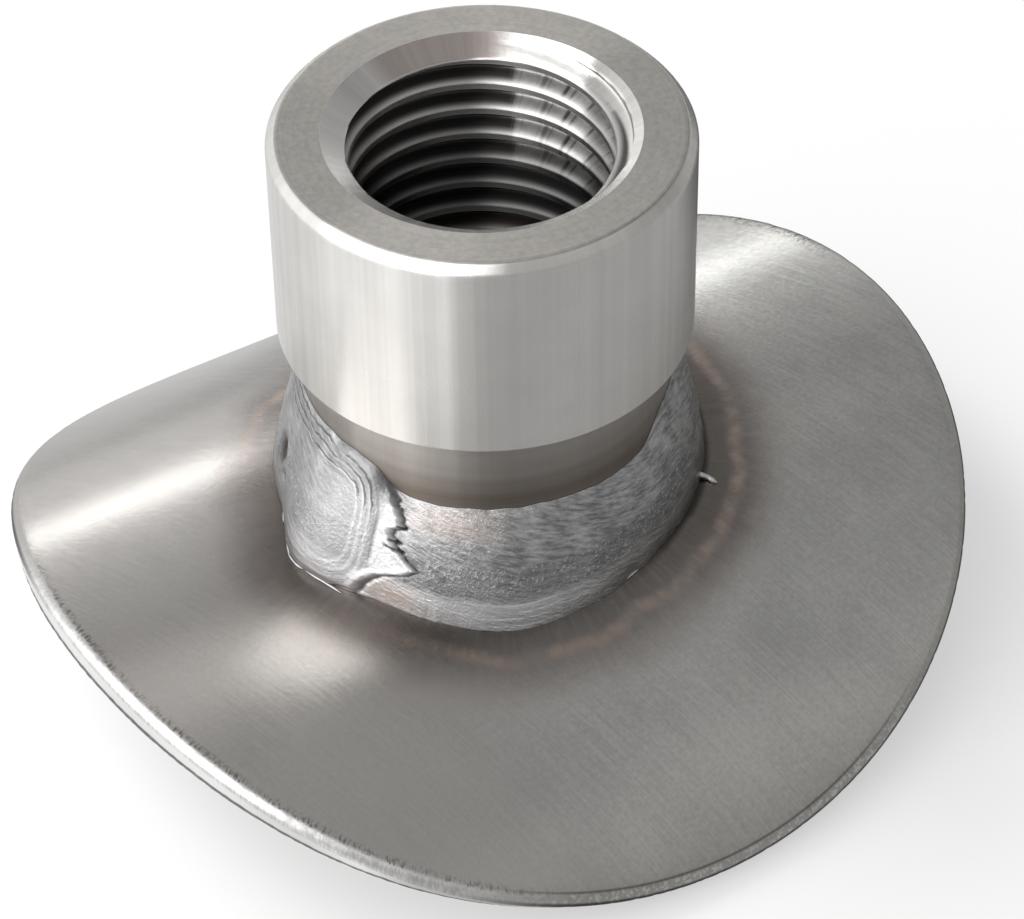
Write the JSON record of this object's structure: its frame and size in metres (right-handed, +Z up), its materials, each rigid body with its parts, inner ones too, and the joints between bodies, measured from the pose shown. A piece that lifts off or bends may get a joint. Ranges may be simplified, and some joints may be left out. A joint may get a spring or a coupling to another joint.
{
  "type": "weld bung",
  "caption": "Turned steel boss with a countersunk internal thread, fillet-welded to a round saddle plate bent to sit on a pipe, for screwing in a sensor or plug.",
  "frame": {"origin": "on the boss axis, at the level of the plate's lowest rim points, where the part rests", "axes": "+Z up along the boss axis out of the thread's mouth, +X along the axis of the pipe that the saddle fits"},
  "size_m": [0.047, 0.0448, 0.0304],
  "materials": {
    "turned_steel": "bright turned",
    "sheet_steel": "satin mill sheet with heat tint round the weld",
    "weld_metal": "rippled as welded"
  },
  "bodies": {
    "root": {"threaded_boss": "turned_steel", "saddle_plate": "sheet_steel", "weld_bead": "weld_metal"}
  },
  "joints": []
}
